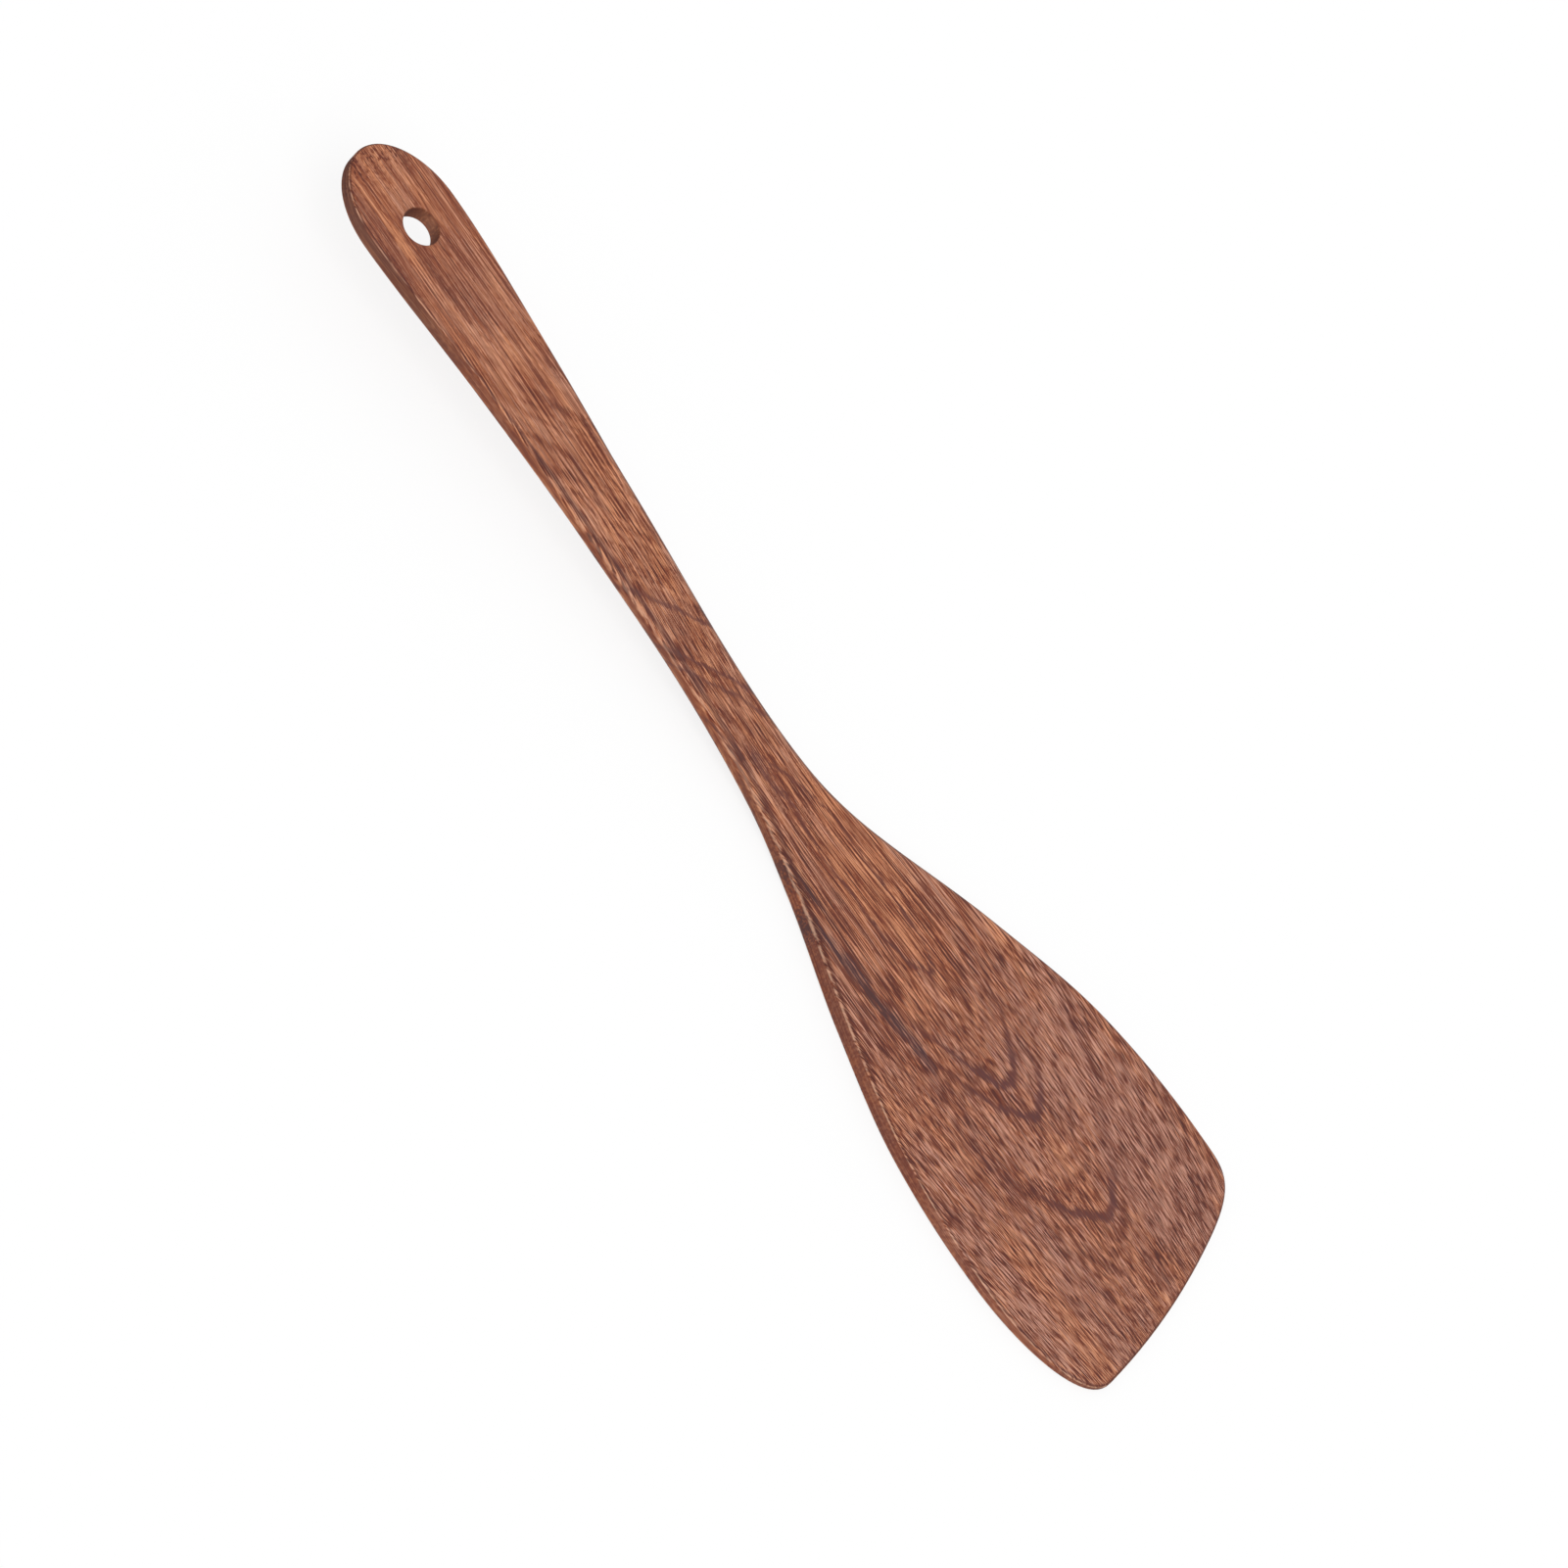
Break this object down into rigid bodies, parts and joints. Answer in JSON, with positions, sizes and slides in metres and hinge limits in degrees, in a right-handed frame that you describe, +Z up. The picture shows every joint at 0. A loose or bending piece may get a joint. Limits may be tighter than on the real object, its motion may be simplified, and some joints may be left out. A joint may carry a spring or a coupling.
{
  "type": "wooden spatula",
  "caption": "Hardwood cooking spatula carved in one piece: a flat blade with a slanted front edge, a slim neck and a rising handle with a hanging hole.",
  "frame": {"origin": "middle of the footprint, on the plane of the blade's flat back", "axes": "+X from the handle end to the blade's front edge, +Y towards the blade's short side, +Z up out of the working face"},
  "size_m": [0.35, 0.0868, 0.0257],
  "materials": {
    "hardwood": "satin oiled, reddish brown with darker streaked grain along the length"
  },
  "bodies": {
    "root": {"spatula_body": "hardwood"}
  },
  "joints": []
}
